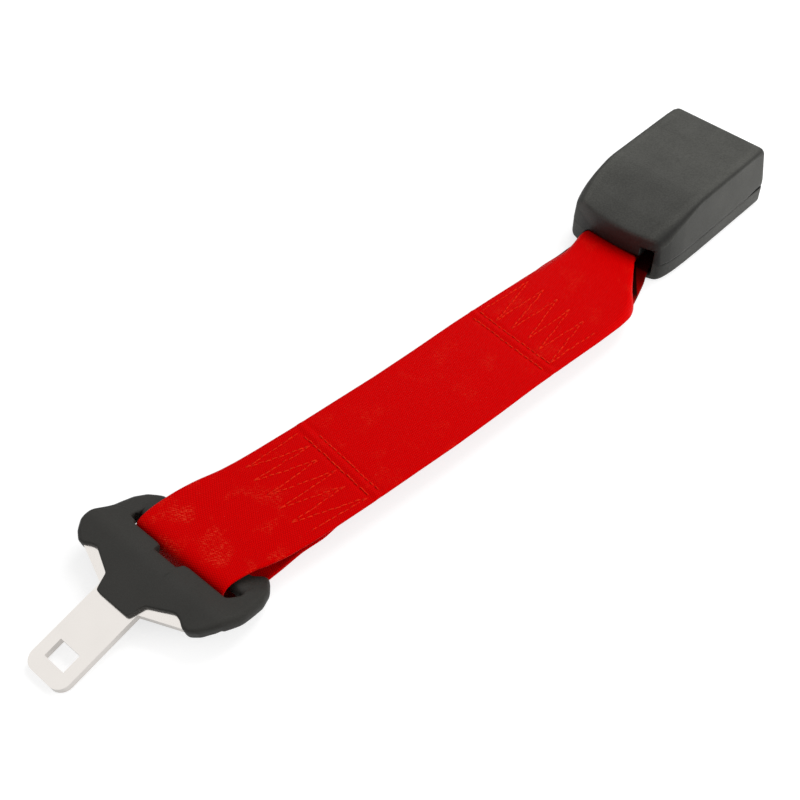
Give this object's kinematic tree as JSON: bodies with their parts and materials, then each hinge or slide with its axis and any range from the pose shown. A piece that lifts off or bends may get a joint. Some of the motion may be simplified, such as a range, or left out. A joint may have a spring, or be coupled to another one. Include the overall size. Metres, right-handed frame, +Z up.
{
  "type": "seat belt buckle",
  "caption": "Seat-belt extender: an end-release latch buckle joined by a looped and stitched webbing strap to a slotted, bent steel tongue with a moulded cover.",
  "frame": {"origin": "centre of the buckle's flat underside", "axes": "+X along the buckle from the webbing end to the tongue mouth, +Y across it, +Z up from the underside"},
  "size_m": [0.3855, 0.0827, 0.031],
  "materials": {
    "buckle_plastic": "fine-grained moulded plastic",
    "tongue_plastic": "satin moulded plastic",
    "slider_plastic": "plain moulded plastic",
    "button_plastic": "polished red plastic",
    "webbing": "woven polyester webbing",
    "tongue_steel": "bright plated steel",
    "frame_steel": "zinc-plated steel",
    "rivet_steel": "plain steel",
    "spring_steel": "spring wire"
  },
  "bodies": {
    "buckle": {"upper_cover": "buckle_plastic", "lower_cover": "buckle_plastic", "mouth_bezel": "buckle_plastic", "latch_frame": "frame_steel", "guide_plate": "frame_steel", "guide_rivets": "rivet_steel", "pawl_pin": "rivet_steel", "pawl_spring": "spring_steel", "button_spring_left": "spring_steel", "button_spring_right": "spring_steel", "ejector_spring": "spring_steel"},
    "strap": {"webbing": "webbing"},
    "tongue": {"tongue_plate": "tongue_steel", "tongue_cover": "tongue_plastic"},
    "button": {"release_button": "button_plastic", "release_slider": "slider_plastic"},
    "pawl": {"latch_pawl": "frame_steel"},
    "ejector": {"ejector": "slider_plastic"}
  },
  "joints": [
    {"name": "strap_swing", "type": "hinge", "parent": "buckle", "child": "strap", "pos_m": [-0.026, 0, 0.0077], "axis": [0, 1, 0], "range_deg": [-5, 18]},
    {"name": "tongue_swing", "type": "hinge", "parent": "strap", "child": "tongue", "pos_m": [-0.2745, 0.0136, 0.0063], "axis": [-0.0288, 0.9996, 0], "range_deg": [-75, 75]},
    {"name": "button_press", "type": "slide", "parent": "buckle", "child": "button", "axis": [-1, 0, 0], "range_m": [0, 0.005], "stiffness_N_per_m": 600, "springref_m": -0.005, "deforming": ["button_spring_left", "button_spring_right"]},
    {"name": "pawl_lift", "type": "hinge", "parent": "buckle", "child": "pawl", "pos_m": [-0.014, 0, 0.0162], "axis": [0, -1, 0], "range_deg": [0, 11], "deforming": ["pawl_spring"]},
    {"name": "ejector_slide", "type": "slide", "parent": "buckle", "child": "ejector", "axis": [-1, 0, 0], "range_m": [0, 0.012], "stiffness_N_per_m": 150, "springref_m": -0.01, "deforming": ["ejector_spring"]}
  ],
  "couplings": [
    {"joint": "pawl_lift", "follows": "button_press", "rad_per_m": 38.397}
  ]
}
